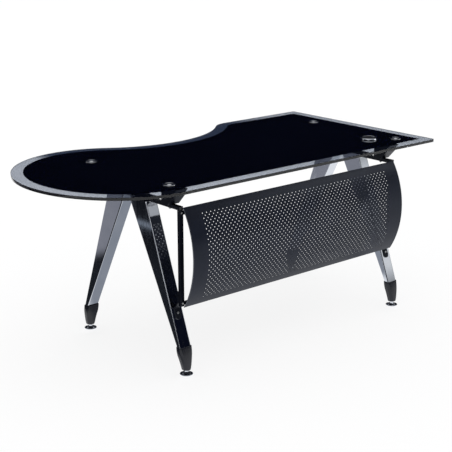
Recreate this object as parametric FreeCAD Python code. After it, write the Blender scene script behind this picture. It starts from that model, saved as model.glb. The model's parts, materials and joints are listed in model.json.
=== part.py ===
import FreeCAD, Part
import math
import os

# Glass-topped computer desk.  Millimetres.
# X runs along the desk, rounded end at -X.  -Y is the visitor's side, with the modesty panel.
# Z = 0 is the floor, and the origin is under the middle of the glass outline.

Vec = FreeCAD.Vector

# --- glass top -------------------------------------------------------------------------------
DESK_LENGTH = 1810.0
DESK_DEPTH = 900.0
DESK_HEIGHT = 750.0
GLASS_THICK = 12.0
PRINT_THICK = 0.4
CLEAR_BORDER = 48.0
ROUND_END_REACH = 398.0       # semi-axis of the rounded end, along X
ROUND_END_STEP = 11.0         # rounded end's sides, in from the desk's two long edges
SCOOP_START_DEG = 57.0        # where the scooped rear edge leaves the rounded end
SCOOP_RADIUS = 507.0
SCOOP_BLEND_RADIUS = 120.0
CORNER_RADIUS = 12.0

# --- A-frames --------------------------------------------------------------------------------
FRAME_INSET = {"left": 433.0, "right": 183.0}   # middle of each A-frame, in from its end of the desk
FRAME_Y = -66.0
LEG_WIDTH = 54.0
LEG_WALL = 2.0
LEG_EDGE_RADIUS = 4.0
LEG_TOP_DROP = 98.0           # legs' tops, below the desk's top
LEG_FOOT_Z = 107.0
LEG_TOP_OUTER = 127.0         # distance from the middle of the A-frame, along Y
LEG_TOP_DEPTH = 109.0
LEG_FOOT_OUTER = 328.0
LEG_FOOT_DEPTH = 22.0
HEAD_THICK = 6.0
HEAD_OVERHANG = 2.0

# --- feet ------------------------------------------------------------------------------------
FOOT_SHIFT = 12.0             # levelling foot, out from the middle of the leg's end
SLEEVE_BOTTOM_Z = 20.0
SLEEVE_LAP = 5.0              # sleeve over the leg's end
SLEEVE_BELLY_DROP = 20.0      # widest place, below the sleeve's top
SLEEVE_END_WIDTH = 34.0
SLEEVE_GAP = 0.2
PLUG_HEIGHT = 40.0
GLIDE_RADIUS = 26.0
GLIDE_THICK = 4.0
STEM_RADIUS = 5.0
STEM_LENGTH = 42.0
RUNNING_GAP = 0.05
INSERT_RADIUS = 8.0
INSERT_LENGTH = 30.0
FOOT_TRAVEL = 12.0

# --- arms, panel bars and the glass brackets ---------------------------------------------------
TUBE_WIDTH = 18.0
TUBE_DEPTH = 14.0
TUBE_WALL = 1.5
ARM_SHIFT = {"left": -4.0, "right": -15.0}      # arm, from the middle of its A-frame along X
ARM_FRONT_INSET = 69.0        # arm's ends, in from the desk's long edges
ARM_REAR_INSET = 216.0
BAR_STEP = 1.0                # bar's front face, ahead of the arm's end
PLATE_THICK = 4.0
BRACKET_WIDTH = 56.0
BRACKET_REACH = 54.0          # from the fixing out to the bracket's upper bend
BRACKET_FOOT_REACH = 2.0      # from the fixing out to the bracket's lower bend
BRACKET_TAIL = 34.0           # from the fixing back to the bracket's free ends
BRACKET_WEB = 3.0

# --- glass fixings ---------------------------------------------------------------------------
FIXING_SHIFT = {"left": -19.0, "right": 59.0}   # fixings, from the middle of the A-frame along X
FIXING_INSET = {"front": 120.0, "rear": 266.0}  # fixings, in from the desk's long edges
CAP_RADIUS = 26.0
CAP_THICK = 2.5
GASKET_THICK = 0.8
PAD_THICK = 3.0
PAD_RADIUS = 23.0
STUD_RADIUS = 4.0
GLASS_HOLE_RADIUS = 10.0
NUT_THICK = 6.0
HOLE_GAP = 0.2

# --- modesty panel ---------------------------------------------------------------------------
PANEL_END_SHIFT = {"left": 5.0, "right": 2.0}   # panel's ends, from the arms along X
PANEL_RISE = 10.0             # panel's top, above the arms' undersides
PANEL_HEIGHT = 397.0
PANEL_CLEARANCE = 2.0         # panel's long edges, ahead of the bars
PANEL_BULGE = 60.0
PANEL_THICK = 1.2
CLIP_TOP_INSET = 20.0         # upper clips, below the panel's top
CLIP_BOTTOM_INSET = 19.0      # lower clips, above the panel's bottom
CLIP_BAR_INSET = 14.0         # lower clips, at least this far above the bar's end
CLIP_GAP = 0.1                # between a clip and the back of the panel
CLIP_TALL = 16.0
CLIP_THICK = 2.0
CLIP_REACH = 17.0

# --- straps from the panel bars to the legs ----------------------------------------------------
STRAP_WIDTH = 26.0
STRAP_SHIFT = -1.0            # strap centre from the leg centre, along X
BAR_LEG_GAP = 36.3            # between the bar's back and the leg, at the bar's end
STRAP_LAP = 59.0              # strap's top, above the bar's end
STRAP_BEND_RISE = 14.0        # strap's bend, above the bar's end
STRAP_LAND_DROP = 18.0        # where the strap reaches the leg, below the bar's end
STRAP_SCREW_DROP = 36.0       # strap's screw, below the bar's end
STRAP_LEG_GAP = 0.1

# --- stretcher between the A-frames ------------------------------------------------------------
STRETCHER_WIDTH = 40.0
STRETCHER_FLANGE = 84.0
STRETCHER_BOLT_PITCH = 60.0

# --- cable grommet -----------------------------------------------------------------------------
GROMMET_END_INSET = 219.0     # grommet, in from the desk's square end
GROMMET_EDGE_INSET = 192.0    # grommet, in from the desk's front edge
GROMMET_BORE_RADIUS = 27.0
GROMMET_WALL = 3.5
GROMMET_FLANGE = 9.5          # flange over the glass, out from the barrel
GROMMET_NUT_WALL = 6.3
GROMMET_HEIGHT = 8.0
GROMMET_DEPTH = 28.0
LID_LEDGE = 5.0               # ledge that the lid sits on, round the bore
LID_RIM = 4.0                 # ring round the lid
LID_THICK = 3.5
LID_SKIRT = 6.0
SLOT_WIDTH = 22.0
SLOT_INNER = 12.0

# --- derived sizes -----------------------------------------------------------------------------
SIDES = ("left", "right")
ENDS = ("front", "rear")
ROUND_END_HALF = DESK_DEPTH / 2 - ROUND_END_STEP
FRAME_X = {"left": FRAME_INSET["left"] - DESK_LENGTH / 2, "right": DESK_LENGTH / 2 - FRAME_INSET["right"]}
ARM_X = {side: FRAME_X[side] + ARM_SHIFT[side] for side in SIDES}
FIXING_X = {side: FRAME_X[side] + FIXING_SHIFT[side] for side in SIDES}
FIXING_Y = {"front": FIXING_INSET["front"] - DESK_DEPTH / 2, "rear": DESK_DEPTH / 2 - FIXING_INSET["rear"]}
ARM_FRONT_Y = ARM_FRONT_INSET - DESK_DEPTH / 2
ARM_REAR_Y = DESK_DEPTH / 2 - ARM_REAR_INSET
BAR_FRONT_Y = ARM_FRONT_Y - BAR_STEP
LEG_TOP_Z = DESK_HEIGHT - LEG_TOP_DROP
LEG_TOP_INNER = LEG_TOP_OUTER - LEG_TOP_DEPTH
LEG_FOOT_INNER = LEG_FOOT_OUTER - LEG_FOOT_DEPTH
FOOT_OFFSET = LEG_FOOT_OUTER - LEG_FOOT_DEPTH / 2 + FOOT_SHIFT
SLEEVE_TOP_Z = LEG_FOOT_Z + SLEEVE_LAP
SLEEVE_BELLY_Z = SLEEVE_TOP_Z - SLEEVE_BELLY_DROP
GLASS_TOP_Z = DESK_HEIGHT - PRINT_THICK
GLASS_BOTTOM_Z = GLASS_TOP_Z - GLASS_THICK
HEAD_TOP_Z = LEG_TOP_Z + HEAD_THICK
ARM_TOP_Z = HEAD_TOP_Z + TUBE_DEPTH
PLATE_TOP_Z = GLASS_BOTTOM_Z - PAD_THICK
FLANGE_TOP_Z = PLATE_TOP_Z - PLATE_THICK
FLANGE_BOTTOM_Z = FLANGE_TOP_Z - PLATE_THICK
OUTER_SLOPE = (LEG_FOOT_OUTER - LEG_TOP_OUTER) / (LEG_TOP_Z - LEG_FOOT_Z)
INNER_SLOPE = (LEG_FOOT_INNER - LEG_TOP_INNER) / (LEG_TOP_Z - LEG_FOOT_Z)
BAR_REAR_Y = BAR_FRONT_Y + TUBE_DEPTH
PANEL_LEFT_X = ARM_X["left"] + PANEL_END_SHIFT["left"]
PANEL_RIGHT_X = ARM_X["right"] + PANEL_END_SHIFT["right"]
PANEL_EDGE_Y = BAR_FRONT_Y - PANEL_CLEARANCE
PANEL_TOP_Z = HEAD_TOP_Z + PANEL_RISE
PANEL_BOTTOM_Z = PANEL_TOP_Z - PANEL_HEIGHT
PANEL_MID_Z = (PANEL_TOP_Z + PANEL_BOTTOM_Z) / 2
PANEL_HALF = (PANEL_TOP_Z - PANEL_BOTTOM_Z) / 2
PANEL_RADIUS = (PANEL_HALF ** 2 + PANEL_BULGE ** 2) / (2 * PANEL_BULGE)
PANEL_CENTRE_Y = PANEL_EDGE_Y - PANEL_BULGE + PANEL_RADIUS
BAR_BOTTOM_Z = LEG_FOOT_Z + (BAR_REAR_Y + BAR_LEG_GAP - FRAME_Y + LEG_FOOT_OUTER) / OUTER_SLOPE
CLIP_LOW_Z = max(PANEL_BOTTOM_Z + CLIP_BOTTOM_INSET, BAR_BOTTOM_Z + CLIP_BAR_INSET)
CLIP_HEIGHTS = (PANEL_TOP_Z - CLIP_TOP_INSET, CLIP_LOW_Z)
STRAP_TOP_Z = BAR_BOTTOM_Z + STRAP_LAP
STRAP_BEND_Z = BAR_BOTTOM_Z + STRAP_BEND_RISE
STRAP_LAND_Z = BAR_BOTTOM_Z - STRAP_LAND_DROP
STRAP_SCREW_Z = BAR_BOTTOM_Z - STRAP_SCREW_DROP
GROMMET_X = DESK_LENGTH / 2 - GROMMET_END_INSET
GROMMET_Y = GROMMET_EDGE_INSET - DESK_DEPTH / 2
GROMMET_BARREL_RADIUS = GROMMET_BORE_RADIUS + GROMMET_WALL
GROMMET_RADIUS = GROMMET_BARREL_RADIUS + GROMMET_FLANGE
LID_RADIUS = GROMMET_BORE_RADIUS + LID_LEDGE
GROMMET_RIM_RADIUS = LID_RADIUS + LID_RIM


# --- shape helpers -----------------------------------------------------------------------------
def block(x0, x1, y0, y1, z0, z1):
    return Part.makeBox(x1 - x0, y1 - y0, z1 - z0, Vec(x0, y0, z0))


def post(radius, x, y, z0, z1):
    return Part.makeCylinder(radius, z1 - z0, Vec(x, y, z0))


def ring(outer, inner, x, y, z0, z1):
    return post(outer, x, y, z0, z1).cut(post(inner, x, y, z0 - 1, z1 + 1))


def prism_yz(points, x0, x1):
    corners = [Vec(x0, y, z) for y, z in points]
    face = Part.Face(Part.makePolygon(corners + corners[:1]))
    return face.extrude(Vec(x1 - x0, 0, 0))


def hexagon(across, x, y, z0, z1):
    radius = across / math.sqrt(3)
    corners = []
    for i in range(6):
        a = math.radians(60 * i)
        corners.append(Vec(x + radius * math.cos(a), y + radius * math.sin(a), z0))
    face = Part.Face(Part.makePolygon(corners + corners[:1]))
    return face.extrude(Vec(0, 0, z1 - z0))


def hex_nut(x, y, z0, z1, bore):
    return hexagon(4 * bore * 0.85, x, y, z0, z1).cut(post(bore + HOLE_GAP, x, y, z0 - 1, z1 + 1))


def rod_along(radius, start, direction, length):
    return Part.makeCylinder(radius, length, start, direction)


def bolt(seat, direction, shank_radius, shank_length):
    """Button-head screw: seat is the centre of the head's underside, direction points to the tip."""
    head_height = shank_radius * 1.1
    head = Part.makeCone(shank_radius * 1.8, shank_radius * 1.3, head_height, seat, direction * -1)
    shank = rod_along(shank_radius, seat, direction, shank_length)
    return head.fuse(shank).removeSplitter()


def thick_path(points, thickness):
    """Outline of a bent strip whose centre line is the given open path, with mitred bends."""
    half = thickness / 2
    one_side = []
    other_side = []
    last = len(points) - 1
    for i, (y, z) in enumerate(points):
        before = unit(points[max(i - 1, 0)], points[max(i, 1)])
        after = unit(points[min(i, last - 1)], points[min(i + 1, last)])
        ny = -(before[1] + after[1])
        nz = before[0] + after[0]
        size = math.hypot(ny, nz)
        ny, nz = ny / size, nz / size
        stretch = half / (-ny * before[1] + nz * before[0])
        one_side.append((y + ny * stretch, z + nz * stretch))
        other_side.append((y - ny * stretch, z - nz * stretch))
    return one_side + other_side[::-1]


def unit(start, end):
    dy = end[0] - start[0]
    dz = end[1] - start[1]
    size = math.hypot(dy, dz)
    return dy / size, dz / size


def tube(x0, x1, y0, y1, z0, z1, along):
    """Rectangular tube, open at both ends along the named axis."""
    w = TUBE_WALL
    inset = {"x": (0, w, w), "y": (w, 0, w), "z": (w, w, 0)}[along]
    hollow = block(x0 + inset[0], x1 - inset[0], y0 + inset[1], y1 - inset[1], z0 + inset[2], z1 - inset[2])
    return block(x0, x1, y0, y1, z0, z1).cut(hollow)


def flip_to_rear(shape):
    return shape.mirror(Vec(0, FRAME_Y, 0), Vec(0, 1, 0))


# --- glass top ---------------------------------------------------------------------------------
def desk_outline(inset, z):
    """The desk's outline, moved in by inset, as a closed wire at height z."""
    reach = ROUND_END_REACH - inset
    half = ROUND_END_HALF - inset
    front = -DESK_DEPTH / 2 + inset
    rear = DESK_DEPTH / 2 - inset
    right = DESK_LENGTH / 2 - inset
    centre_x = -DESK_LENGTH / 2 + ROUND_END_REACH
    centre_y = -DESK_DEPTH / 2 + ROUND_END_HALF
    scoop_radius = SCOOP_RADIUS + inset
    blend = SCOOP_BLEND_RADIUS - inset
    corner = max(CORNER_RADIUS - inset, 3.0)

    # the scoop touches the rounded end where the two share a normal
    start = math.radians(SCOOP_START_DEG)
    touch = Vec(centre_x + reach * math.cos(start), centre_y + half * math.sin(start), z)
    normal = Vec(math.cos(start) / reach, math.sin(start) / half, 0).normalize()
    scoop = touch + normal * scoop_radius
    blend_y = rear - blend
    blend_x = scoop.x + math.sqrt((scoop_radius + blend) ** 2 - (scoop.y - blend_y) ** 2)
    blend_centre = Vec(blend_x, blend_y, z)
    leave = scoop + (blend_centre - scoop).normalize() * scoop_radius
    bottom = scoop - Vec(0, scoop_radius, 0)

    ellipse = Part.Ellipse(Vec(centre_x, centre_y + half, z), Vec(centre_x - reach, centre_y, z),
                           Vec(centre_x, centre_y, z))
    from_touch = ellipse.parameter(touch)
    to_front = ellipse.parameter(Vec(centre_x, centre_y - half, z))
    if to_front < from_touch:
        to_front += 2 * math.pi
    round_end = Part.ArcOfEllipse(ellipse, from_touch, to_front).toShape()

    diag = corner * (1 - math.sqrt(0.5))
    front_corner = Part.Arc(Vec(right - corner, front, z), Vec(right - diag, front + diag, z),
                            Vec(right, front + corner, z)).toShape()
    rear_corner = Part.Arc(Vec(right, rear - corner, z), Vec(right - diag, rear - diag, z),
                           Vec(right - corner, rear, z)).toShape()
    turn = (Vec(0, 1, 0) + (scoop - blend_centre).normalize()).normalize()
    blend_arc = Part.Arc(Vec(blend_x, rear, z), blend_centre + turn * blend, leave).toShape()
    scoop_arc = Part.Arc(leave, bottom, touch).toShape()
    edges = [
        Part.makeLine(Vec(centre_x, front, z), Vec(right - corner, front, z)),
        front_corner,
        Part.makeLine(Vec(right, front + corner, z), Vec(right, rear - corner, z)),
        rear_corner,
        Part.makeLine(Vec(right - corner, rear, z), Vec(blend_x, rear, z)),
        blend_arc,
        scoop_arc,
        round_end,
    ]
    return Part.Wire(Part.__sortEdges__(edges))


def slab(inset, z0, z1):
    return Part.Face(desk_outline(inset, z0)).extrude(Vec(0, 0, z1 - z0))


def fixings():
    for side in SIDES:
        for end in ENDS:
            yield side, end, FIXING_X[side], FIXING_Y[end]


def pierce_top(plate):
    for side, end, x, y in fixings():
        plate = plate.cut(post(GLASS_HOLE_RADIUS, x, y, GLASS_BOTTOM_Z - 1, DESK_HEIGHT + 1))
    hole = post(GROMMET_BARREL_RADIUS + 0.5, GROMMET_X, GROMMET_Y, GLASS_BOTTOM_Z - 1, DESK_HEIGHT + 1)
    return plate.cut(hole)


def glass_top():
    return pierce_top(slab(0, GLASS_BOTTOM_Z, GLASS_TOP_Z))


def black_print():
    return pierce_top(slab(CLEAR_BORDER, GLASS_TOP_Z, DESK_HEIGHT))


def fixing_nut_top(side):
    """The right-hand fixings stand outboard of their bracket, so their nuts bear on the pad plate."""
    if abs(FIXING_X[side] - ARM_X[side]) < BRACKET_WIDTH / 2:
        return FLANGE_BOTTOM_Z
    return PLATE_TOP_Z - PLATE_THICK


def fixing_caps():
    caps = []
    under = DESK_HEIGHT + GASKET_THICK
    for side, end, x, y in fixings():
        disc = post(CAP_RADIUS, x, y, under, under + CAP_THICK)
        disc = disc.makeChamfer(1.0, [disc.Edges[0]])
        stud = post(STUD_RADIUS, x, y, FLANGE_BOTTOM_Z - NUT_THICK - 4, under)
        caps.append(disc.fuse(stud).removeSplitter())
    return Part.makeCompound(caps)


def fixing_gaskets():
    z0 = DESK_HEIGHT
    rings = [ring(CAP_RADIUS - 2, STUD_RADIUS + HOLE_GAP, x, y, z0, z0 + GASKET_THICK) for _, _, x, y in fixings()]
    return Part.makeCompound(rings)


def fixing_bushes():
    outer = GLASS_HOLE_RADIUS - HOLE_GAP
    rings = [ring(outer, STUD_RADIUS + HOLE_GAP, x, y, GLASS_BOTTOM_Z, GLASS_TOP_Z) for _, _, x, y in fixings()]
    return Part.makeCompound(rings)


def fixing_pads():
    rings = [ring(PAD_RADIUS, STUD_RADIUS + HOLE_GAP, x, y, PLATE_TOP_Z, GLASS_BOTTOM_Z) for _, _, x, y in fixings()]
    return Part.makeCompound(rings)


def fixing_nuts():
    nuts = []
    for side, end, x, y in fixings():
        top = fixing_nut_top(side)
        nuts.append(hex_nut(x, y, top - NUT_THICK, top, STUD_RADIUS))
    return Part.makeCompound(nuts)


# --- under the glass -----------------------------------------------------------------------------
def pad_plate(side, end):
    """Flat plate under the glass that carries one fixing out from its bracket."""
    x = FIXING_X[side]
    y = FIXING_Y[end]
    low = min(ARM_X[side] - BRACKET_WIDTH / 2, x - PAD_RADIUS - 2)
    high = max(ARM_X[side] + BRACKET_WIDTH / 2, x + PAD_RADIUS + 2)
    plate = block(low, high, y - PAD_RADIUS - 3, y + PAD_RADIUS + 3, PLATE_TOP_Z - PLATE_THICK, PLATE_TOP_Z)
    return plate.cut(post(STUD_RADIUS + HOLE_GAP, x, y, FLANGE_BOTTOM_Z, GLASS_BOTTOM_Z))


def bracket_bolt_y(end):
    out = -1 if end == "front" else 1
    return FIXING_Y[end] - out * BRACKET_TAIL / 2


def glass_bracket(side, end):
    """Bent strip that leans out from the arm and turns back under the glass, with a web down one side."""
    out = -1 if end == "front" else 1
    y = FIXING_Y[end]
    low = ARM_TOP_Z + PLATE_THICK / 2
    high = FLANGE_TOP_Z - PLATE_THICK / 2
    path = [
        (y - out * BRACKET_TAIL, low),
        (y + out * BRACKET_FOOT_REACH, low),
        (y + out * BRACKET_REACH, high),
        (y - out * BRACKET_TAIL, high),
    ]
    x = ARM_X[side]
    edge = x - BRACKET_WIDTH / 2
    strip = prism_yz(thick_path(path, PLATE_THICK), edge, x + BRACKET_WIDTH / 2)
    strip = strip.fuse(prism_yz(path, edge, edge + BRACKET_WEB)).removeSplitter()
    strip = strip.cut(post(STUD_RADIUS + HOLE_GAP, FIXING_X[side], y, FLANGE_BOTTOM_Z - 1, GLASS_BOTTOM_Z))
    return strip.cut(post(3 + HOLE_GAP, x, bracket_bolt_y(end), ARM_TOP_Z - 1, ARM_TOP_Z + PLATE_THICK + 1))


def arm_bolt_places():
    for side in SIDES:
        for offset in (-90.0, 90.0):
            yield side, ARM_X[side], FRAME_Y + offset


def stretcher_bolt_places():
    for side in SIDES:
        for offset in (-STRETCHER_BOLT_PITCH / 2, STRETCHER_BOLT_PITCH / 2):
            yield side, FRAME_Y + offset


def arm(side):
    x = ARM_X[side]
    half = TUBE_WIDTH / 2
    body = tube(x - half, x + half, ARM_FRONT_Y, ARM_REAR_Y, HEAD_TOP_Z, ARM_TOP_Z, "y")
    for where, bolt_x, y in arm_bolt_places():
        if where == side:
            body = body.cut(post(3 + HOLE_GAP, bolt_x, y, HEAD_TOP_Z - 1, ARM_TOP_Z + 1))
    for end in ENDS:
        body = body.cut(post(3 + HOLE_GAP, x, bracket_bolt_y(end), HEAD_TOP_Z - 1, ARM_TOP_Z + 1))
    middle = (HEAD_TOP_Z + ARM_TOP_Z) / 2
    for where, y in stretcher_bolt_places():
        if where == side:
            body = body.cut(rod_along(3 + HOLE_GAP, Vec(x - half - 1, y, middle), Vec(1, 0, 0), TUBE_WIDTH + 2))
    return body


def arm_plugs():
    plugs = []
    half = TUBE_WIDTH / 2 - TUBE_WALL - 0.1
    z0 = HEAD_TOP_Z + TUBE_WALL + 0.1
    z1 = ARM_TOP_Z - TUBE_WALL - 0.1
    for side in SIDES:
        x = ARM_X[side]
        plugs.append(block(x - half, x + half, ARM_FRONT_Y, ARM_FRONT_Y + 14, z0, z1))
        plugs.append(block(x - half, x + half, ARM_REAR_Y - 14, ARM_REAR_Y, z0, z1))
    return Part.makeCompound(plugs)


def bolts_and_nuts():
    arm_bolts, arm_nuts, bracket_bolts, bracket_nuts = [], [], [], []
    down = Vec(0, 0, -1)
    for side, x, y in arm_bolt_places():
        arm_bolts.append(bolt(Vec(x, y, ARM_TOP_Z), down, 3.0, ARM_TOP_Z - LEG_TOP_Z + 7))
        arm_nuts.append(hex_nut(x, y, LEG_TOP_Z - 5, LEG_TOP_Z, 3.0))
    for side in SIDES:
        for end in ENDS:
            x = ARM_X[side]
            y = bracket_bolt_y(end)
            seat = ARM_TOP_Z + PLATE_THICK
            bracket_bolts.append(bolt(Vec(x, y, seat), down, 3.0, seat - HEAD_TOP_Z + 7))
            bracket_nuts.append(hex_nut(x, y, HEAD_TOP_Z - 5, HEAD_TOP_Z, 3.0))
    groups = (arm_bolts, arm_nuts, bracket_bolts, bracket_nuts)
    return [Part.makeCompound(group) for group in groups]


# --- A-frames ------------------------------------------------------------------------------------
def leg_section(grow, z0, z1):
    """Front leg's side view between two heights, grown by grow on every side, as Y, Z corners."""
    def outer(z):
        return FRAME_Y - LEG_FOOT_OUTER + (z - LEG_FOOT_Z) * OUTER_SLOPE - grow

    def inner(z):
        return FRAME_Y - LEG_FOOT_INNER + (z - LEG_FOOT_Z) * INNER_SLOPE + grow

    return [(outer(z0), z0), (outer(z1), z1), (inner(z1), z1), (inner(z0), z0)]


def front_leg(side):
    x = FRAME_X[side]
    half = LEG_WIDTH / 2
    body = prism_yz(leg_section(0, LEG_FOOT_Z, LEG_TOP_Z), x - half, x + half)
    long_edges = [e for e in body.Edges if abs(e.tangentAt(e.FirstParameter).z) > 0.5]
    body = body.makeFillet(LEG_EDGE_RADIUS, long_edges)
    hollow = prism_yz(leg_section(-LEG_WALL, LEG_FOOT_Z - 5, LEG_TOP_Z + 5), x - half + LEG_WALL, x + half - LEG_WALL)
    body = body.cut(hollow)
    return body


def leg(side, end):
    body = front_leg(side)
    if end == "rear":
        return flip_to_rear(body)
    seat, inward = strap_screw_seat(side)
    return body.cut(rod_along(3 + HOLE_GAP, seat - inward * 5, inward, 20))


def leg_head(side):
    """Plate across the tops of the two legs that the arm is bolted down to."""
    x = FRAME_X[side]
    half_x = LEG_WIDTH / 2 + HEAD_OVERHANG
    half_y = LEG_TOP_OUTER + HEAD_OVERHANG
    plate = block(x - half_x, x + half_x, FRAME_Y - half_y, FRAME_Y + half_y, LEG_TOP_Z, HEAD_TOP_Z)
    plate = plate.makeFillet(3.0, [e for e in plate.Edges if abs(e.tangentAt(e.FirstParameter).z) > 0.9])
    for where, bolt_x, y in arm_bolt_places():
        if where == side:
            plate = plate.cut(post(3 + HOLE_GAP, bolt_x, y, LEG_TOP_Z - 1, HEAD_TOP_Z + 1))
    return plate


# --- feet ------------------------------------------------------------------------------------------
def octagon(width, depth, cut, x, y, z):
    w = width / 2
    d = depth / 2
    corners = [(w, d - cut), (w - cut, d), (cut - w, d), (-w, d - cut),
               (-w, cut - d), (cut - w, -d), (w - cut, -d), (w, cut - d)]
    points = [Vec(x + dx, y + dy, z) for dx, dy in corners]
    return Part.makePolygon(points + points[:1])


def foot_sleeve(side, end):
    """Plastic sleeve with a collar round the end of the leg and a plug inside it."""
    x = FRAME_X[side]
    foot_y = FRAME_Y - FOOT_OFFSET
    leg_mid = FRAME_Y - (LEG_FOOT_OUTER + LEG_FOOT_INNER) / 2
    sections = [
        octagon(SLEEVE_END_WIDTH, SLEEVE_END_WIDTH, 10.0, x, foot_y, SLEEVE_BOTTOM_Z),
        octagon(LEG_WIDTH + 7, LEG_FOOT_DEPTH + 13, 8.0, x, leg_mid - 1.5, SLEEVE_BELLY_Z),
        octagon(LEG_WIDTH + 6, LEG_FOOT_DEPTH + 8, 5.0, x, leg_mid + 1.5, SLEEVE_TOP_Z),
    ]
    body = Part.makeLoft(sections, True, True)
    half = LEG_WIDTH / 2 + SLEEVE_GAP
    body = body.cut(prism_yz(leg_section(SLEEVE_GAP, LEG_FOOT_Z, SLEEVE_TOP_Z + 20), x - half, x + half))
    inside = LEG_WALL + SLEEVE_GAP
    plug_half = LEG_WIDTH / 2 - inside
    plug = prism_yz(leg_section(-inside, LEG_FOOT_Z - 1, LEG_FOOT_Z + PLUG_HEIGHT), x - plug_half, x + plug_half)
    body = body.fuse(plug)
    body = body.cut(post(INSERT_RADIUS, x, foot_y, SLEEVE_BOTTOM_Z - 1, SLEEVE_BOTTOM_Z + INSERT_LENGTH))
    body = body.cut(post(STEM_RADIUS + 0.5, x, foot_y, SLEEVE_BOTTOM_Z, SLEEVE_BOTTOM_Z + STEM_LENGTH + 4))
    body = body.removeSplitter()
    return flip_to_rear(body) if end == "rear" else body


def glide_inserts():
    inserts = []
    for side in SIDES:
        for y in (FRAME_Y - FOOT_OFFSET, FRAME_Y + FOOT_OFFSET):
            top = SLEEVE_BOTTOM_Z + INSERT_LENGTH
            inserts.append(ring(INSERT_RADIUS - 0.05, STEM_RADIUS + RUNNING_GAP, FRAME_X[side], y, SLEEVE_BOTTOM_Z, top))
    return Part.makeCompound(inserts)


def glide(side, end):
    """Levelling foot, screwed right in: its hexagon bears on the end of the threaded insert."""
    x = FRAME_X[side]
    y = FRAME_Y - FOOT_OFFSET if end == "front" else FRAME_Y + FOOT_OFFSET
    disc = post(GLIDE_RADIUS, x, y, 0, GLIDE_THICK)
    disc = disc.makeFillet(1.5, [disc.Edges[0], disc.Edges[2]])
    dome = Part.makeCone(GLIDE_RADIUS - 6, 11, 4, Vec(x, y, GLIDE_THICK))
    neck = hexagon(14.0, x, y, GLIDE_THICK + 4, SLEEVE_BOTTOM_Z)
    stem = post(STEM_RADIUS, x, y, GLIDE_THICK, SLEEVE_BOTTOM_Z + STEM_LENGTH)
    return disc.fuse([dome, neck, stem]).removeSplitter()


# --- panel bars and straps ---------------------------------------------------------------------------
def panel_bar(side):
    x = ARM_X[side]
    half = TUBE_WIDTH / 2
    body = tube(x - half, x + half, BAR_FRONT_Y, BAR_REAR_Y, BAR_BOTTOM_Z, HEAD_TOP_Z, "z")
    for z in CLIP_HEIGHTS:
        start = Vec(x, BAR_FRONT_Y - 5, z)
        body = body.cut(rod_along(2.5 + HOLE_GAP, start, Vec(0, 1, 0), 10))
    return body


def strap_screw_seat(side):
    """Point on the leg's front face behind the strap screw, and the direction into the leg."""
    y = leg_section(0, STRAP_SCREW_Z, LEG_TOP_Z)[0][0]
    inward = Vec(0, 1, -OUTER_SLOPE).normalize()
    return Vec(FRAME_X[side] + STRAP_SHIFT, y, STRAP_SCREW_Z), inward


def strap_end_z():
    return STRAP_SCREW_Z - STRAP_WIDTH / 2 + 1


def bar_strap(side):
    """Strap from the back of the panel bar to the front of the leg, with a rounded end."""
    x = FRAME_X[side] + STRAP_SHIFT
    off = PLATE_THICK / 2

    def on_leg(z):
        return leg_section(0, z, LEG_TOP_Z)[0][0] - (off + STRAP_LEG_GAP) / math.cos(math.atan(OUTER_SLOPE))

    tip_z = strap_end_z() - STRAP_WIDTH / 2
    path = [
        (BAR_REAR_Y + off, STRAP_TOP_Z),
        (BAR_REAR_Y + off, STRAP_BEND_Z),
        (on_leg(STRAP_LAND_Z), STRAP_LAND_Z),
        (on_leg(tip_z), tip_z),
    ]
    strip = prism_yz(thick_path(path, PLATE_THICK), x - STRAP_WIDTH / 2, x + STRAP_WIDTH / 2)
    seat, inward = strap_screw_seat(side)
    centre = Vec(x, on_leg(strap_end_z()), strap_end_z())
    end_disc = rod_along(STRAP_WIDTH / 2, centre - inward * 20, inward, 40)
    low_end = block(x - STRAP_WIDTH, x + STRAP_WIDTH, FRAME_Y - LEG_FOOT_OUTER - 100, FRAME_Y, tip_z - 30, strap_end_z())
    strip = strip.cut(low_end.cut(end_disc))
    return strip.cut(rod_along(3 + HOLE_GAP, seat - inward * 20, inward, 30))


def strap_screws():
    screws, nuts = [], []
    for side in SIDES:
        seat, inward = strap_screw_seat(side)
        head = seat - inward * (PLATE_THICK + STRAP_LEG_GAP)
        screws.append(bolt(head, inward, 3.0, PLATE_THICK + LEG_WALL + 8))
        back = seat + inward * LEG_WALL
        nuts.append(rod_along(5.5, back, inward, 4).cut(rod_along(3 + HOLE_GAP, back - inward, inward, 6)))
    return Part.makeCompound(screws), Part.makeCompound(nuts)


# --- modesty panel -------------------------------------------------------------------------------------
def panel_point(radius, z):
    return PANEL_CENTRE_Y - math.sqrt(radius ** 2 - (z - PANEL_MID_Z) ** 2)


def modesty_panel():
    """Bowed sheet; its perforations are left out here."""
    inner = PANEL_RADIUS - PANEL_THICK
    x = PANEL_LEFT_X
    spread = math.asin(PANEL_HALF / PANEL_RADIUS)

    def at(radius, angle):
        return Vec(x, PANEL_CENTRE_Y - radius * math.cos(angle), PANEL_MID_Z + radius * math.sin(angle))

    front_arc = Part.Arc(at(PANEL_RADIUS, -spread), at(PANEL_RADIUS, 0), at(PANEL_RADIUS, spread)).toShape()
    back_arc = Part.Arc(at(inner, spread), at(inner, 0), at(inner, -spread)).toShape()
    top = Part.makeLine(at(PANEL_RADIUS, spread), at(inner, spread))
    bottom = Part.makeLine(at(inner, -spread), at(PANEL_RADIUS, -spread))
    face = Part.Face(Part.Wire([front_arc, top, back_arc, bottom]))
    return face.extrude(Vec(PANEL_RIGHT_X - PANEL_LEFT_X, 0, 0))


def clip_inward(side):
    return 1 if side == "left" else -1


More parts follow.
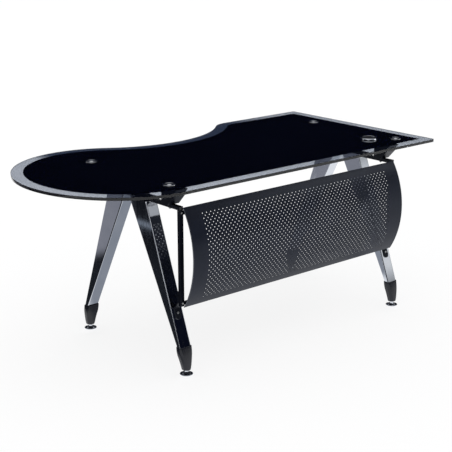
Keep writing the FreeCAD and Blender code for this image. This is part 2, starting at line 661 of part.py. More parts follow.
def panel_clips():
    """Angle clips: one flange is screwed to the bar, the other meets the back of the panel."""
    clips = []
    for side in SIDES:
        way = clip_inward(side)
        bar_x = ARM_X[side]
        tip_x = bar_x + way * (TUBE_WIDTH / 2 + CLIP_REACH)
        for z in CLIP_HEIGHTS:
            z0 = z - CLIP_TALL / 2
            z1 = z + CLIP_TALL / 2
            flange_x = sorted((bar_x - way * 6, tip_x))
            flange = block(flange_x[0], flange_x[1], BAR_FRONT_Y - CLIP_THICK, BAR_FRONT_Y, z0, z1)
            back = PANEL_RADIUS - PANEL_THICK
            outline = [
                (BAR_FRONT_Y, z0),
                (panel_point(back, z0) + CLIP_GAP, z0),
                (panel_point(back, z1) + CLIP_GAP, z1),
                (BAR_FRONT_Y, z1),
            ]
            web_x = sorted((tip_x - way * CLIP_THICK, tip_x))
            clip = flange.fuse(prism_yz(outline, web_x[0], web_x[1]))
            hole = rod_along(2.5 + HOLE_GAP, Vec(bar_x, BAR_FRONT_Y - 5, z), Vec(0, 1, 0), 10)
            clips.append(clip.cut(hole).removeSplitter())
    return Part.makeCompound(clips)


def clip_screws():
    screws = []
    for side in SIDES:
        for z in CLIP_HEIGHTS:
            seat = Vec(ARM_X[side], BAR_FRONT_Y - CLIP_THICK, z)
            screws.append(bolt(seat, Vec(0, 1, 0), 2.5, CLIP_THICK + TUBE_WALL + 4))
    return Part.makeCompound(screws)


# --- stretcher -------------------------------------------------------------------------------------------
def stretcher_face_x(side):
    """Inner side face of an arm, where the stretcher's end flange is bolted."""
    return ARM_X[side] + clip_inward(side) * TUBE_WIDTH / 2


def stretcher():
    half = STRETCHER_WIDTH / 2
    x0 = stretcher_face_x("left") + PLATE_THICK
    x1 = stretcher_face_x("right") - PLATE_THICK
    return tube(x0, x1, FRAME_Y - half, FRAME_Y + half, HEAD_TOP_Z, ARM_TOP_Z, "x")


def stretcher_flanges():
    flanges = []
    middle = (HEAD_TOP_Z + ARM_TOP_Z) / 2
    half = STRETCHER_FLANGE / 2
    for side in SIDES:
        way = clip_inward(side)
        xs = sorted((stretcher_face_x(side), stretcher_face_x(side) + way * PLATE_THICK))
        plate = block(xs[0], xs[1], FRAME_Y - half, FRAME_Y + half, HEAD_TOP_Z, ARM_TOP_Z)
        for where, y in stretcher_bolt_places():
            plate = plate.cut(rod_along(3 + HOLE_GAP, Vec(xs[0] - 1, y, middle), Vec(1, 0, 0), PLATE_THICK + 2))
        flanges.append(plate)
    return Part.makeCompound(flanges)


def stretcher_bolts():
    bolts, nuts = [], []
    middle = (HEAD_TOP_Z + ARM_TOP_Z) / 2
    for side, y in stretcher_bolt_places():
        way = clip_inward(side)
        along = Vec(way, 0, 0)
        seat = Vec(ARM_X[side] - way * TUBE_WIDTH / 2, y, middle)
        bolts.append(bolt(seat, along, 3.0, TUBE_WIDTH + PLATE_THICK + 6))
        back = Vec(stretcher_face_x(side) + way * PLATE_THICK, y, middle)
        nuts.append(rod_along(5.5, back, along, 5).cut(rod_along(3 + HOLE_GAP, back - along, along, 7)))
    return Part.makeCompound(bolts), Part.makeCompound(nuts)


# --- cable grommet -----------------------------------------------------------------------------------------
def grommet_ring():
    x, y = GROMMET_X, GROMMET_Y
    top = DESK_HEIGHT + GROMMET_HEIGHT
    ledge = top - LID_THICK - 0.5
    flange = Part.makeCone(GROMMET_RADIUS, GROMMET_RIM_RADIUS, GROMMET_HEIGHT, Vec(x, y, DESK_HEIGHT))
    barrel = post(GROMMET_BARREL_RADIUS, x, y, GLASS_BOTTOM_Z - GROMMET_DEPTH + GLASS_THICK, DESK_HEIGHT)
    body = flange.fuse(barrel)
    body = body.cut(post(GROMMET_BORE_RADIUS, x, y, GLASS_BOTTOM_Z - GROMMET_DEPTH, top + 1))
    body = body.cut(post(LID_RADIUS + 0.1, x, y, ledge, top + 1))
    return body.removeSplitter()


def grommet_lid():
    """Round lid with a skirt that turns in the ring's bore, and a slot for cables."""
    x, y = GROMMET_X, GROMMET_Y
    z1 = DESK_HEIGHT + GROMMET_HEIGHT - 0.5
    z0 = z1 - LID_THICK
    skirt_radius = GROMMET_BORE_RADIUS - RUNNING_GAP
    plate = post(LID_RADIUS, x, y, z0, z1)
    skirt = ring(skirt_radius, skirt_radius - 2.5, x, y, z0 - LID_SKIRT, z0)
    lid = plate.fuse(skirt)
    half = SLOT_WIDTH / 2
    slot = block(x + SLOT_INNER, x + LID_RADIUS + 5, y - half, y + half, z0 - LID_SKIRT - 1, z1 + 1)
    return lid.cut(slot).removeSplitter()


def grommet_nut():
    z1 = GLASS_BOTTOM_Z
    inner = GROMMET_BARREL_RADIUS + HOLE_GAP
    return ring(inner + GROMMET_NUT_WALL, inner, GROMMET_X, GROMMET_Y, z1 - 7, z1)


# --- every node ----------------------------------------------------------------------------------------------
def all_nodes():
    nodes = {
        "glass_top": glass_top(),
        "black_print": black_print(),
        "fixing_caps": fixing_caps(),
        "fixing_gaskets": fixing_gaskets(),
        "fixing_bushes": fixing_bushes(),
        "fixing_pads": fixing_pads(),
        "fixing_nuts": fixing_nuts(),
        "arm_plugs": arm_plugs(),
        "glide_inserts": glide_inserts(),
        "panel_clips": panel_clips(),
        "clip_screws": clip_screws(),
        "modesty_panel": modesty_panel(),
        "stretcher": stretcher(),
        "stretcher_flanges": stretcher_flanges(),
        "grommet_ring": grommet_ring(),
        "grommet_lid": grommet_lid(),
        "grommet_nut": grommet_nut(),
    }
    nodes["arm_bolts"], nodes["arm_nuts"], nodes["bracket_bolts"], nodes["bracket_nuts"] = bolts_and_nuts()
    nodes["strap_screws"], nodes["strap_nuts"] = strap_screws()
    nodes["stretcher_bolts"], nodes["stretcher_nuts"] = stretcher_bolts()
    for side in SIDES:
        nodes["arm_" + side] = arm(side)
        nodes["leg_head_" + side] = leg_head(side)
        nodes["panel_bar_" + side] = panel_bar(side)
        nodes["bar_strap_" + side] = bar_strap(side)
        for end in ENDS:
            place = end + "_" + side
            nodes["leg_" + place] = leg(side, end)
            nodes["foot_sleeve_" + place] = foot_sleeve(side, end)
            nodes["glide_" + place] = glide(side, end)
            nodes["glass_bracket_" + place] = glass_bracket(side, end)
            nodes["pad_plate_" + place] = pad_plate(side, end)
    return nodes


os.makedirs("parts", exist_ok=True)
for name, shape in all_nodes().items():
    if not shape.isValid():
        raise ValueError(name + " is not a valid shape")
    shape.exportStep("parts/" + name + ".step")
    print(name, len(shape.Solids), "solid(s)", round(shape.Volume / 1000, 1), "cm3")
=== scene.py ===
"""Looks for the glass computer desk: camera, studio, materials and the detailed pieces. Metres throughout."""
import json
import math

import bmesh
import bpy
from mathutils import Matrix, Vector

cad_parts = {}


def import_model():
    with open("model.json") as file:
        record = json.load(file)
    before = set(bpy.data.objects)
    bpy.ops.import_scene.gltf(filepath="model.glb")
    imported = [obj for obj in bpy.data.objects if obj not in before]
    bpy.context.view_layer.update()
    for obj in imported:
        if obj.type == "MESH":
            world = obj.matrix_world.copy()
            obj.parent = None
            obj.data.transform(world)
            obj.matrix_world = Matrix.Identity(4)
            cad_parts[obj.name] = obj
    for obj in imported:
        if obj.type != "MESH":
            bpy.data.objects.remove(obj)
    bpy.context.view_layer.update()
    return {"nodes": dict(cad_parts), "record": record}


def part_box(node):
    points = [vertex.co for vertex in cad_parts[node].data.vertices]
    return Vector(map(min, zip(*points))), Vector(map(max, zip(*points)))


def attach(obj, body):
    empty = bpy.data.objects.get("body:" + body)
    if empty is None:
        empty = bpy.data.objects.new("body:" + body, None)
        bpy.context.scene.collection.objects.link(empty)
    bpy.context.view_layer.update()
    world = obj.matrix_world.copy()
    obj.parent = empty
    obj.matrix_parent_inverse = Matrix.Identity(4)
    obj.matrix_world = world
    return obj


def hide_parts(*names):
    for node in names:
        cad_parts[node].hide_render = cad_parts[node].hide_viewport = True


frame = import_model()
NODES = frame["nodes"]

SIDES = ("left", "right")
ENDS = ("front", "rear")
SHARP_ANGLE = math.radians(28)
NOISE_ROUGHNESS = 0.55       # share that each finer octave of a noise keeps
BEVEL_SAMPLES = 6

# Camera, in the desk's frame.
CAMERA_PLACE = Vector((-3.0426, -3.6255, 1.7948))
CAMERA_RIGHT = Vector((0.75807, -0.65216, -0.00239))
CAMERA_UP = Vector((0.18330, 0.20954, 0.96047))
CAMERA_LENS = 91.34

# Modesty panel: bow of the sheet, its punched pattern, and the hem along its two bowed ends.
PANEL_BULGE = 0.060
PANEL_THICK = 0.0012
PUNCH_STEP = 0.0102          # half the distance between two holes of one row
PUNCH_COLUMNS = 101
PUNCH_ROWS = 35
PUNCH_RADIUS = 0.0022
PUNCH_SIDES = 16             # twice the number of steps round a cell
AROUND = ((1, 0), (1, 1), (0, 1), (-1, 1), (-1, 0), (-1, -1), (0, -1), (1, -1))   # steps round a cell
MARGIN_COLUMNS = 4           # mesh columns between the pattern and each end
MARGIN_ROWS = 3              # mesh rows between the pattern and the long edges
EDGE_BEAD_RADIUS = 0.0016
EDGE_BEAD_STEPS = 72
EDGE_BEAD_SIDES = 8

# Glass: its ground edges, and the print that is fired on to it.
GLASS_WELD = 1e-6
GLASS_FLAT_ANGLE = math.radians(0.2)
GLASS_RIM_ANGLE = math.radians(60)
GLASS_ROUND = 0.0014
GLASS_LEVEL_FACE = 0.9       # faces whose normal is at least this upright stay flat
PRINT_SINK = 0.0003

# Plastic sleeves on the legs' ends: width along X, depth along Y, corner cut, shift of the middle, height.
SLEEVE_LOOPS = (
    (0.0325, 0.0325, 0.0095, 0.0000, 0.0200),
    (0.0350, 0.0345, 0.0098, 0.0000, 0.0222),
    (0.0425, 0.0355, 0.0096, 0.0012, 0.0400),
    (0.0510, 0.0365, 0.0092, 0.0048, 0.0620),
    (0.0583, 0.0365, 0.0086, 0.0088, 0.0800),
    (0.0610, 0.0352, 0.0080, 0.0110, 0.0920),
    (0.0612, 0.0325, 0.0066, 0.0126, 0.1025),
    (0.0606, 0.0308, 0.0056, 0.0136, 0.1095),
    (0.0596, 0.0298, 0.0050, 0.0140, 0.1120),
)
SLEEVE_CORNERS = 8
SLEEVE_ROUND = 0.0009
SLEEVE_RIDGE_ANGLE = math.radians(14)
SLEEVE_SHARP_ANGLE = math.radians(18)
LEG_GAP = 0.0008             # clearance to the leg's width and to its lower end
LIP_DEPTH = 0.0228
LIP_CUT = 0.0035
LIP_DROP = 0.0004            # of the lip's inner edge below the sleeve's top
WELL_DEPTH = 0.0226
INSERT_HOLE = 0.0080
INSERT_TOP = 0.050

# Round caps of the glass fixings: radius and height over the cap's own seat.
CAP_PROFILE = (
    (0.0262, 0.0000), (0.0262, 0.0007), (0.0259, 0.0012), (0.0250, 0.0016), (0.0236, 0.0020),
    (0.0216, 0.0024), (0.0204, 0.0025), (0.0194, 0.0023), (0.0184, 0.0017), (0.0120, 0.0012),
    (0.0108, 0.0013), (0.0102, 0.0019), (0.0092, 0.0024), (0.0046, 0.0025), (0.0040, 0.0022),
    (0.0036, 0.0006),
)
CAP_SEGMENTS = 72
SOCKET_LOOPS = 3             # last loops of the cap's profile, which are hexagonal
SOCKET_FLOOR = 0.0006
CENTRE_RADIUS = 0.0005       # where the cap's socket and the stud's end are closed by a small face
CAP_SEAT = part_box("fixing_gaskets")[1].z
FIXING_X = {"left": -0.491, "right": 0.781}
FIXING_Y = {"front": -0.330, "rear": 0.184}
STUD_RADIUS = 0.004
THREAD_PITCH = 0.00125
THREAD_DEPTH = 0.0006
THREAD_LENGTH = 0.020

# Cable grommet: radius and height over the desk's top.
GROMMET_PLACE = (0.686, -0.258)
GROMMET_SEGMENTS = 96
DESK_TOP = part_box("black_print")[1].z
GROMMET_PROFILE = (
    (0.0305, -0.0284), (0.0305, 0.0000), (0.0398, 0.0000), (0.0400, 0.0008), (0.0398, 0.0024),
    (0.0390, 0.0046), (0.0378, 0.0063), (0.0366, 0.0074), (0.0354, 0.0079), (0.0340, 0.0080),
    (0.0330, 0.0078), (0.0324, 0.0072), (0.0321, 0.0062), (0.0321, 0.0040), (0.0270, 0.0040),
    (0.0270, -0.0284),
)

# Studio. The floor lies below the longest reach of the levelling feet.
FLOOR_LEVEL = -0.0122
FLOOR_HALF = 60.0
SOFT_EDGE = 0.45             # share of a card's half size over which its light fades out

# What polished metal and the clear glass see of the floor: a card with darker areas, one of them a painted
# shadow under the desk, the lowest layer first.
# Each area has its colour, where it fades in and out along X, the same along Y, and the same across the
# slanted edge of the dark cloth, which is the line y + CLOTH_SLOPE * x = CLOTH_EDGE.
CARD_HALF = 30.0
CARD_LIFT = 0.0006
CARD_SHADE = (0.92, 0.93, 0.95)
CLOTH_SLOPE = 1.372
CLOTH_EDGE = -0.738
CLOTH_SOFT = 0.04
CLOTH_FADE = (CLOTH_EDGE + CLOTH_SOFT, CLOTH_EDGE - CLOTH_SOFT)
CARD_AREAS = (
    # far behind the desk
    ((0.07, 0.09, 0.14), [(1.05, 1.25), (3.60, 2.90)], [(2.25, 2.45)], []),
    # behind on the left
    ((0.23, 0.235, 0.27), [(-0.60, -0.80)], [(0.45, 0.75)], []),
    # painted shadow of the desk on the floor under it
    ((0.27, 0.29, 0.33), [(-0.46, -0.38), (0.42, 0.30)], [(-0.33, -0.22), (0.55, 0.40)], []),
    # dark cloth on the left
    ((0.006, 0.007, 0.010), [(-2.9, -2.5), (-0.56, -0.66)], [(-0.60, -0.35)], [CLOTH_FADE]),
    # its part next to the desk
    ((0.012, 0.014, 0.018), [(-1.55, -1.25), (-0.56, -0.66)], [(-0.60, -0.35), (1.25, 1.05)], []),
    # small lighter gap at its far left corner
    ((0.22, 0.25, 0.30), [(-1.73, -1.71), (-1.65, -1.67)], [(1.20, 1.24), (1.60, 1.56)], []),
)


# --- small helpers -----------------------------------------------------------------------------
def linked(name, data):
    """A new object in the scene with this mesh or camera."""
    made = bpy.data.objects.new(name, data)
    bpy.context.scene.collection.objects.link(made)
    return made


def object_from(name, verts, faces, smooth=True):
    mesh = bpy.data.meshes.new(name)
    mesh.from_pydata([tuple(v) for v in verts], [], faces)
    mesh.update()
    work = bmesh.new()
    work.from_mesh(mesh)
    bmesh.ops.recalc_face_normals(work, faces=work.faces)
    work.to_mesh(mesh)
    work.free()
    if smooth:
        smooth_shading(mesh)
    return linked(name, mesh)


def smooth_shading(mesh, angle=SHARP_ANGLE):
    for face in mesh.polygons:
        face.use_smooth = True
    mesh.set_sharp_from_angle(angle=angle)


def paint(piece, material):
    piece.data.materials.clear()
    piece.data.materials.append(material)


def place(piece, body, material, replaced=()):
    """Gives a new piece its body and material, and hides the CAD nodes it stands for."""
    paint(piece, material)
    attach(piece, body)
    if replaced:
        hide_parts(*replaced)


def tube_faces(loops, sides):
    """Faces between neighbouring loops of vertices, each with the same number of sides."""
    faces = []
    for k in range(loops - 1):
        for s in range(sides):
            t = (s + 1) % sides
            faces.append((k * sides + s, k * sides + t, (k + 1) * sides + t, (k + 1) * sides + s))
    return faces


def lathe(profile, x, y, z, segments, hexagon_from=None):
    """Turns a profile of (radius, height) about a vertical axis. Loops from hexagon_from on are hexagonal."""
    verts = []
    for k, (radius, height) in enumerate(profile):
        for s in range(segments):
            angle = 2 * math.pi * s / segments
            r = radius
            if hexagon_from is not None and k >= hexagon_from:
                local = math.fmod(angle, math.pi / 3) - math.pi / 6
                r = radius * math.cos(math.pi / 6) / math.cos(local)
            verts.append((x + r * math.cos(angle), y + r * math.sin(angle), z + height))
    return verts, tube_faces(len(profile), segments)


def rectangle(half_width, half_height, level=0.0):
    """Corners of an upward-facing rectangle about the Z axis."""
    return [(-half_width, -half_height, level), (half_width, -half_height, level),
            (half_width, half_height, level), (-half_width, half_height, level)]


# --- node helpers ---------------------------------------------------------------------------------
def mixed_colour(tree, factor, under, over):
    """Under where factor is 0 and over where it is 1, each a colour or another node's output."""
    mix = tree.nodes.new("ShaderNodeMix")
    mix.data_type = "RGBA"
    for socket, colour in (("A", under), ("B", over)):
        if isinstance(colour, tuple):
            mix.inputs[socket].default_value = (*colour, 1)
        else:
            tree.links.new(colour, mix.inputs[socket])
    tree.links.new(factor, mix.inputs["Factor"])
    return mix.outputs["Result"]


def smooth_step(tree, value, start, stop):
    """Goes smoothly from 0 at start to 1 at stop, whichever of the two is larger."""
    ranged = tree.nodes.new("ShaderNodeMapRange")
    ranged.interpolation_type = "SMOOTHSTEP"
    ranged.inputs["From Min"].default_value = start
    ranged.inputs["From Max"].default_value = stop
    tree.links.new(value, ranged.inputs["Value"])
    return ranged.outputs["Result"]


def product(tree, factors):
    total = factors[0]
    for factor in factors[1:]:
        times = tree.nodes.new("ShaderNodeMath")
        times.operation = "MULTIPLY"
        tree.links.new(total, times.inputs[0])
        tree.links.new(factor, times.inputs[1])
        total = times.outputs["Value"]
    return total


def show_mix(tree, factor, first, second, output="Material Output"):
    """Sends the first shader to the output node where factor is 0 and the second where it is 1."""
    mix = tree.nodes.new("ShaderNodeMixShader")
    tree.links.new(factor, mix.inputs["Fac"])
    tree.links.new(first, mix.inputs[1])
    tree.links.new(second, mix.inputs[2])
    tree.links.new(mix.outputs["Shader"], tree.nodes[output].inputs["Surface"])


def transparent(tree):
    return tree.nodes.new("ShaderNodeBsdfTransparent").outputs["BSDF"]


class Paint:
    """A Principled material whose nodes are added one by one."""

    def __init__(self, name, **sockets):
        self.material = bpy.data.materials.new(name)
        self.material.use_nodes = True
        self.tree = self.material.node_tree
        self.shader = self.tree.nodes["Principled BSDF"]
        for socket, value in sockets.items():
            self.shader.inputs[socket.replace("_", " ")].default_value = value
        self.coordinates = self.node("ShaderNodeTexCoord").outputs["Object"]

    def node(self, kind, **values):
        node = self.tree.nodes.new(kind)
        for key, value in values.items():
            setattr(node, key, value)
        return node

    def link(self, output, socket):
        self.tree.links.new(output, socket)

    def noise(self, scale, detail=4.0, stretch=(1, 1, 1)):
        mapping = self.node("ShaderNodeMapping")
        mapping.inputs["Scale"].default_value = stretch
        self.link(self.coordinates, mapping.inputs["Vector"])
        noise = self.node("ShaderNodeTexNoise")
        noise.inputs["Scale"].default_value = scale
        noise.inputs["Detail"].default_value = detail
        noise.inputs["Roughness"].default_value = NOISE_ROUGHNESS
        self.link(mapping.outputs["Vector"], noise.inputs["Vector"])
        return noise.outputs["Fac"]

    def ranged(self, value, low, high, start=0.3, stop=0.7):
        ranged = self.node("ShaderNodeMapRange")
        ranged.inputs["From Min"].default_value = start
        ranged.inputs["From Max"].default_value = stop
        ranged.inputs["To Min"].default_value = low
        ranged.inputs["To Max"].default_value = high
        self.link(value, ranged.inputs["Value"])
        return ranged.outputs["Result"]

    def mixed(self, factor, under, over):
        return mixed_colour(self.tree, factor, under, over)

    def colour(self, output):
        self.link(output, self.shader.inputs["Base Color"])

    def roughness(self, output):
        self.link(output, self.shader.inputs["Roughness"])

    def bump(self, height, strength, distance, edge=None):
        """Bump from height; edge rounds the CAD's sharp edges by that radius."""
        bump = self.node("ShaderNodeBump")
        bump.inputs["Strength"].default_value = strength
        bump.inputs["Distance"].default_value = distance
        self.link(height, bump.inputs["Height"])
        if edge:
            bevel = self.node("ShaderNodeBevel", samples=BEVEL_SAMPLES)
            bevel.inputs["Radius"].default_value = edge
            self.link(bevel.outputs["Normal"], bump.inputs["Normal"])
        self.link(bump.outputs["Normal"], self.shader.inputs["Normal"])

    def edge_mask(self, radius, gain):
        """1 on the CAD's convex and concave edges, 0 on flat faces."""
        bevel = self.node("ShaderNodeBevel", samples=BEVEL_SAMPLES)
        bevel.inputs["Radius"].default_value = radius
        geometry = self.node("ShaderNodeNewGeometry")
        dot = self.node("ShaderNodeVectorMath", operation="DOT_PRODUCT")
        self.link(bevel.outputs["Normal"], dot.inputs[0])
        self.link(geometry.outputs["True Normal"], dot.inputs[1])
        return self.ranged(dot.outputs["Value"], 1.0, 0.0, 1 - 1 / gain, 1.0)


def chrome_paint(name, wave):
    """Polished chrome plate: faint cloudy haze, light smears and the slight wave of a drawn tube."""
    p = Paint(name, Metallic=1.0, Roughness=0.05)
    cloud = p.noise(9.0, detail=3.0)
    p.colour(p.mixed(p.ranged(cloud, 0.0, 1.0), (0.70, 0.73, 0.78), (0.80, 0.82, 0.86)))
    smear = p.noise(70.0, detail=6.0, stretch=(1, 1, 0.12))
    p.roughness(p.ranged(smear, 0.03, 0.10))
    p.bump(p.noise(16.0, detail=1.0, stretch=(1, 1, 0.35)), 0.5, wave)
    return p.material


def spun_chrome_paint():
    """Turned and plated caps: rings from the tool spread each highlight into a cross."""
    p = Paint("spun_chrome", Metallic=1.0, Roughness=0.12, Anisotropic=0.7)
    rings = p.node("ShaderNodeTexWave", wave_type="RINGS", rings_direction="Z")
    rings.inputs["Scale"].default_value = 260.0
    rings.inputs["Distortion"].default_value = 0.4
    rings.inputs["Detail"].default_value = 2.0
    p.link(p.coordinates, rings.inputs["Vector"])
    p.colour(p.mixed(p.ranged(p.noise(60.0), 0.0, 1.0), (0.86, 0.88, 0.92), (1.0, 1.0, 1.0)))
    p.roughness(p.ranged(rings.outputs["Fac"], 0.08, 0.15, 0.0, 1.0))
    p.bump(rings.outputs["Fac"], 0.25, 0.00003)
    tangent = p.node("ShaderNodeTangent", direction_type="RADIAL", axis="Z")
    p.link(tangent.outputs["Tangent"], p.shader.inputs["Tangent"])
    return p.material


def zinc_paint():
    """Zinc-plated fasteners: bluish and yellowish patches with a fine grain."""
    p = Paint("zinc_plate", Metallic=1.0, Roughness=0.3)
    patch = p.noise(140.0, detail=5.0)
    p.colour(p.mixed(p.ranged(patch, 0.0, 1.0), (0.42, 0.45, 0.50), (0.66, 0.65, 0.60)))
    p.roughness(p.ranged(p.noise(900.0), 0.22, 0.42))
    p.bump(p.noise(1500.0, detail=3.0), 0.35, 0.00003, edge=0.0004)
    return p.material


def clear_glass_paint():
    """Clear toughened glass with a grey-blue cast and faint wiping marks."""
    p = Paint("clear_glass", Transmission_Weight=1.0, IOR=1.50, Roughness=0.0)
    p.colour(p.mixed(p.ranged(p.noise(5.0, detail=2.0), 0.0, 1.0), (0.62, 0.67, 0.75), (0.68, 0.72, 0.80)))
    p.roughness(p.ranged(p.noise(40.0, detail=5.0, stretch=(1, 0.3, 1)), 0.0, 0.015))
    return p.material


def black_print_paint():
    """Black gloss print under a polished surface: nearly even, with a breath of dust haze."""
    p = Paint("black_print", Roughness=0.04, IOR=1.45)
    haze = p.noise(3.5, detail=3.0)
    dust = p.noise(900.0, detail=2.0)
    base = p.mixed(p.ranged(haze, 0.0, 1.0), (0.0003, 0.0004, 0.0022), (0.0006, 0.0008, 0.0032))
    p.colour(p.mixed(p.ranged(dust, 0.0, 0.35, 0.74, 0.80), base, (0.006, 0.007, 0.010)))
    p.roughness(p.ranged(p.noise(26.0, detail=5.0, stretch=(1, 0.4, 1)), 0.015, 0.05))
    return p.material


def bonded_black_paint():
    """Underside of the print, seen through the glass that it is fired on to."""
    p = Paint("bonded_black", Roughness=0.9, Specular_IOR_Level=0.0)
    p.colour(p.mixed(p.ranged(p.noise(120.0), 0.0, 1.0), (0.0015, 0.0020, 0.0045), (0.0040, 0.0048, 0.0080)))
    p.roughness(p.ranged(p.noise(300.0), 0.8, 1.0))
    return p.material


def powder_paint(name, dark, light, rough, shine, edge=None, edge_line_colour=None):
    """Powder coat: fine orange peel, slow shifts of tone and, when an edge colour is given, a lighter colour
    along the convex and concave edges.
    """
    p = Paint(name, Roughness=sum(rough) / 2, IOR=1.5, Specular_IOR_Level=shine,
              Specular_Tint=(0.80, 0.88, 1.0, 1.0))
    base = p.mixed(p.ranged(p.noise(14.0, detail=5.0), 0.0, 1.0), dark, light)
    if edge_line_colour:
        # a lighter colour along every convex and concave edge of the CAD shape
        base = p.mixed(p.edge_mask(edge, 4.0), base, edge_line_colour)
    p.colour(base)
    p.roughness(p.ranged(p.noise(420.0, detail=4.0), *rough))
    p.bump(p.noise(1300.0, detail=3.0), 0.30, 0.00005, edge=edge)
    return p.material


def moulded_paint(name, dark, light, rough):
    """Moulded plastic with a spark-eroded grain and slightly polished high spots."""
    p = Paint(name, Roughness=sum(rough) / 2, IOR=1.48)
    p.colour(p.mixed(p.ranged(p.noise(35.0, detail=4.0), 0.0, 1.0), dark, light))
    p.roughness(p.ranged(p.noise(700.0, detail=5.0), *rough))
    cells = p.node("ShaderNodeTexVoronoi", feature="F1")
    cells.inputs["Scale"].default_value = 1400.0
    p.link(p.coordinates, cells.inputs["Vector"])
    p.bump(cells.outputs["Distance"], 0.25, 0.00005, edge=0.0006)
    return p.material


def rubber_paint():
    """Soft black rubber: matt, speckled with talc."""
    p = Paint("soft_rubber", Roughness=0.75, IOR=1.4)
    talc = p.ranged(p.noise(400.0, detail=6.0), 0.0, 1.0, 0.45, 0.75)
    p.colour(p.mixed(talc, (0.012, 0.012, 0.012), (0.05, 0.05, 0.048)))
    p.roughness(p.ranged(p.noise(250.0), 0.65, 0.9))
    p.bump(p.noise(900.0), 0.4, 0.00008)
    return p.material


CHROME = chrome_paint("chrome_plate", wave=0.00004)
CHROME_FOOT = chrome_paint("chrome_foot", wave=0.00001)
SPUN_CHROME = spun_chrome_paint()
ZINC = zinc_paint()
CLEAR_GLASS = clear_glass_paint()
BLACK_PRINT = black_print_paint()
BONDED_BLACK = bonded_black_paint()
BLACK_STEEL = powder_paint("black_steel", dark=(0.0015, 0.002, 0.005), light=(0.004, 0.005, 0.010),
                           rough=(0.30, 0.42), shine=0.25, edge=0.0008, edge_line_colour=(0.016, 0.018, 0.026))
PANEL_PAINT = powder_paint("panel_paint", dark=(0.003, 0.0045, 0.0115), light=(0.006, 0.008, 0.018),
                           rough=(0.30, 0.38), shine=0.24)
# The hem's paint is the panel's paint made lighter and glossier: a painted highlight along the sheet's bowed
# ends.
BEAD_HIGHLIGHT_PAINT = powder_paint("panel_edge_highlight_paint", dark=(0.05, 0.056, 0.07), light=(0.08, 0.088, 0.10),
                          rough=(0.25, 0.35), shine=0.5)
SLEEVE_PLASTIC = moulded_paint("sleeve_plastic", dark=(0.003, 0.004, 0.008), light=(0.006, 0.007, 0.013),
                               rough=(0.20, 0.30))
BLACK_PLASTIC = moulded_paint("black_plastic", dark=(0.010, 0.010, 0.012), light=(0.018, 0.018, 0.021),
                              rough=(0.35, 0.5))
LID_PLASTIC = moulded_paint("lid_plastic", dark=(0.012, 0.013, 0.016), light=(0.022, 0.023, 0.027),
                            rough=(0.25, 0.4))
RUBBER = rubber_paint()

SLOT_PAINT = {
    "clear_glass": CLEAR_GLASS, "black_print": BLACK_PRINT, "chrome": CHROME, "zinc": ZINC,
    "black_steel": BLACK_STEEL, "panel_paint": PANEL_PAINT, "plastic": BLACK_PLASTIC,
    "grommet_black": LID_PLASTIC, "rubber": RUBBER,
}


def paint_cad_nodes():
    for part in frame["record"]["subparts"]:
        paint(NODES[part["node"]], SLOT_PAINT[part["material_slot"]])
        if part["node"].startswith("glide_") and part["node"] != "glide_inserts":
            paint(NODES[part["node"]], CHROME_FOOT)


# --- pieces --------------------------------------------------------------------------------------
def panel_surface():
    """The bowed sheet's length along X, its length down the sheet, and a function that turns a distance
    along, a distance down and a depth into a point."""
    low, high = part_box("modesty_panel")
    half = (high.z - low.z) / 2
    middle = (high.z + low.z) / 2
    radius = (half ** 2 + PANEL_BULGE ** 2) / (2 * PANEL_BULGE)
    centre_y = low.y + radius
    spread = math.asin(half / radius)

    def at(along, down, depth):
        angle = spread - down / radius
        r = radius - depth
        return Vector((low.x + along, centre_y - r * math.cos(angle), middle + r * math.sin(angle)))

    return high.x - low.x, 2 * radius * spread, at


def grid_lines(total, cells, step, margin_cells):
    """Cell borders over one direction of the sheet: a margin, cells of one step each, and a margin again."""
    margin = (total - cells * step) / 2
    lines = [margin * k / margin_cells for k in range(margin_cells)]
    lines += [margin + step * k for k in range(cells + 1)]
    lines += [total - margin + margin * (k + 1) / margin_cells for k in range(margin_cells)]
    return lines


def with_middles(lines):
    return lines[:1] + [line for a, b in zip(lines, lines[1:]) for line in ((a + b) / 2, b)]


